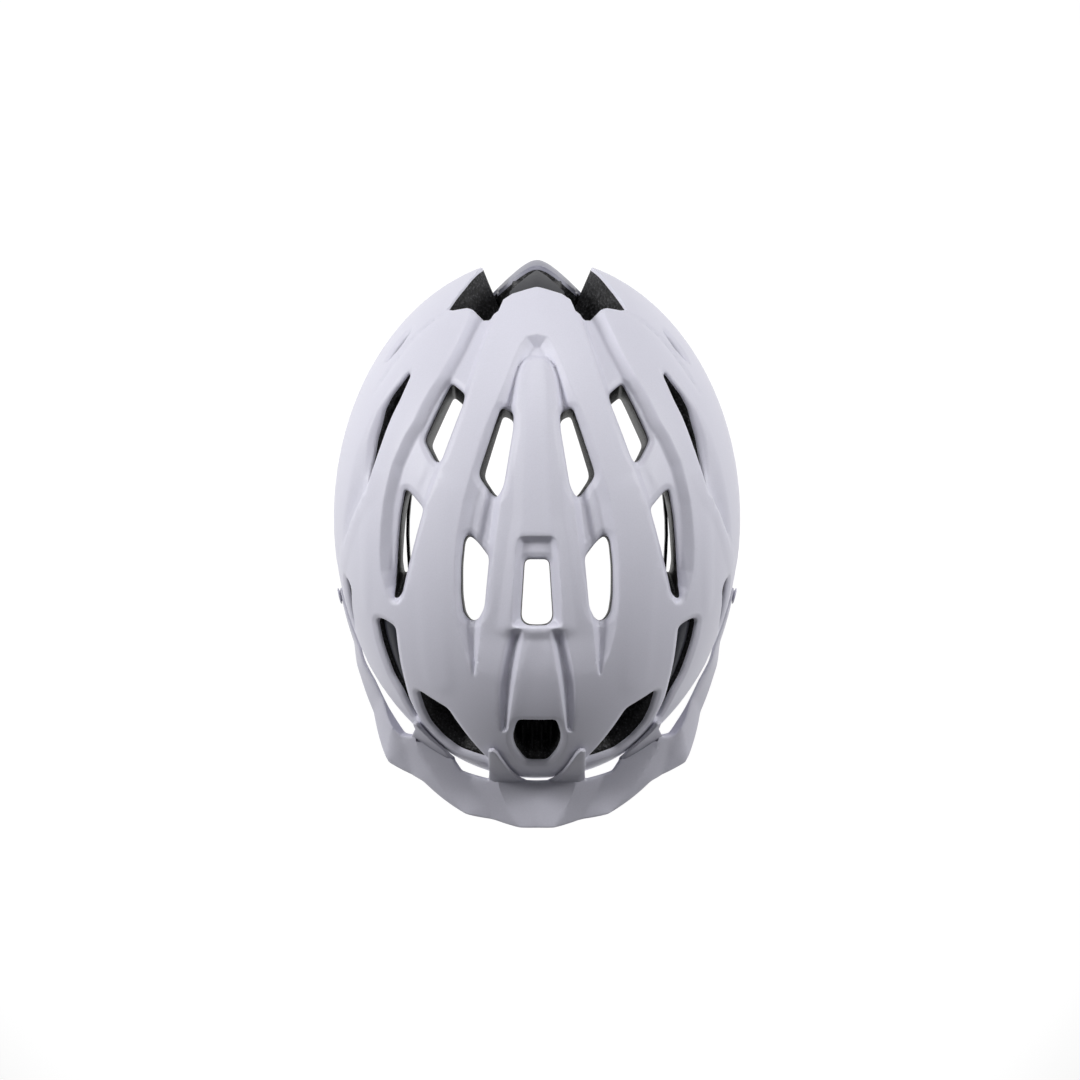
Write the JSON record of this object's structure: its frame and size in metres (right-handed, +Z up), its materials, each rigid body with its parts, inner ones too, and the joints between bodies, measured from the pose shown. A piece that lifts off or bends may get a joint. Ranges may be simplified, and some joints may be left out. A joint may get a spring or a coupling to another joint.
{
  "type": "cycling helmet",
  "caption": "Vented cycling helmet with ribbed shell, foam liner, clip-on visor, dial fit cradle, pads and chin webbing with a side-squeeze buckle.",
  "frame": {"origin": "centre of the head opening, level with the wearer's brow", "axes": "+X to the wearer's left, -Y towards the visor, +Z up through the crown"},
  "size_m": [0.2198, 0.3061, 0.2896],
  "materials": {
    "shell_white": "satin white with a faint lilac tint",
    "shell_grey": "satin mid grey",
    "visor_white": "satin white with a faint lilac tint",
    "foam": "black moulded bead foam",
    "panel_dark": "smooth dark grey",
    "insert_dark": "smooth blue-black",
    "pad": "dark brushed knit over foam",
    "webbing": "black woven webbing",
    "black_plastic": "black nylon, fine moulded texture",
    "dial": "dark grey soft-touch",
    "pinion": "natural acetal",
    "steel": "bright steel"
  },
  "bodies": {
    "helmet": {"outer_shell": "shell_white", "lower_shell": "shell_grey", "visor_stud_left": "visor_white", "visor_stud_right": "visor_white", "eps_liner": "foam", "rear_panel": "panel_dark", "vent_insert_left": "insert_dark", "rib_pad_left": "pad", "side_pad_left": "pad", "front_strap_left": "webbing", "rear_strap_left": "webbing", "chin_strap_left": "webbing", "temple_anchor_left": "black_plastic", "strap_anchor_front_left": "black_plastic", "strap_anchor_rear_left": "black_plastic", "divider_left": "black_plastic", "vent_insert_right": "insert_dark", "rib_pad_right": "pad", "side_pad_right": "pad", "front_strap_right": "webbing", "rear_strap_right": "webbing", "chin_strap_right": "webbing", "temple_anchor_right": "black_plastic", "strap_anchor_front_right": "black_plastic", "strap_anchor_rear_right": "black_plastic", "divider_right": "black_plastic", "brow_pad": "pad", "crown_pad": "pad", "arm_rail": "black_plastic", "buckle_female": "black_plastic"},
    "visor": {"visor": "visor_white"},
    "cradle": {"height_arm": "black_plastic", "dial_housing": "black_plastic", "nape_yoke": "black_plastic", "click_spring": "steel"},
    "dial": {"fit_dial": "dial", "dial_pinion": "pinion", "dial_screw": "steel"},
    "belt_left": {"belt_left": "black_plastic"},
    "belt_right": {"belt_right": "black_plastic"},
    "divider_lever_left": {"divider_lever_left": "black_plastic"},
    "divider_lever_right": {"divider_lever_right": "black_plastic"},
    "buckle_male": {"buckle_male": "black_plastic"},
    "prong_front": {"buckle_prong_front": "black_plastic"},
    "prong_rear": {"buckle_prong_rear": "black_plastic"},
    "strap_keeper": {"strap_keeper": "black_plastic"}
  },
  "joints": [
    {"name": "visor_pull_off", "type": "slide", "parent": "helmet", "child": "visor", "axis": [0, -1, 0], "range_m": [0, 0.1]},
    {"name": "cradle_tilt", "type": "hinge", "parent": "helmet", "child": "cradle", "pos_m": [0, -0.0572, 0], "axis": [1, 0, 0], "range_deg": [-5, 5]},
    {"name": "dial_turn", "type": "hinge", "parent": "cradle", "child": "dial", "pos_m": [0, 0.08, -0.042], "axis": [0, 1, 0], "range_deg": [0, 171.5]},
    {"name": "belt_left_draw", "type": "slide", "parent": "cradle", "child": "belt_left", "axis": [1, 0, 0], "range_m": [0, 0.012]},
    {"name": "belt_right_draw", "type": "slide", "parent": "cradle", "child": "belt_right", "axis": [-1, 0, 0], "range_m": [0, 0.012]},
    {"name": "divider_lever_left_flip", "type": "hinge", "parent": "helmet", "child": "divider_lever_left", "pos_m": [-0.0851, -0.0375, -0.063], "axis": [0, 1, 0], "range_deg": [0, 85]},
    {"name": "divider_lever_right_flip", "type": "hinge", "parent": "helmet", "child": "divider_lever_right", "pos_m": [0.0851, -0.0375, -0.063], "axis": [0, -1, 0], "range_deg": [0, 85]},
    {"name": "buckle_release", "type": "slide", "parent": "helmet", "child": "buckle_male", "axis": [1, 0, 0], "range_m": [0, 0.024], "deforming": ["chin_strap_right"]},
    {"name": "prong_front_squeeze", "type": "hinge", "parent": "buckle_male", "child": "prong_front", "pos_m": [0.0034, -0.0865, -0.16], "axis": [0, 0, -1], "range_deg": [0, 6], "stiffness_Nm_per_rad": 0.06},
    {"name": "prong_rear_squeeze", "type": "hinge", "parent": "buckle_male", "child": "prong_rear", "pos_m": [0.0034, -0.0735, -0.16], "axis": [0, 0, 1], "range_deg": [0, 6], "stiffness_Nm_per_rad": 0.06},
    {"name": "keeper_slide", "type": "slide", "parent": "helmet", "child": "strap_keeper", "axis": [0.3157, -0.4316, -0.845], "range_m": [-0.003, 0.003]}
  ],
  "couplings": [
    {"joint": "belt_left_draw", "follows": "dial_turn", "m_per_rad": 0.004},
    {"joint": "belt_right_draw", "follows": "dial_turn", "m_per_rad": 0.004},
    {"joint": "prong_rear_squeeze", "follows": "prong_front_squeeze", "ratio": 1}
  ]
}
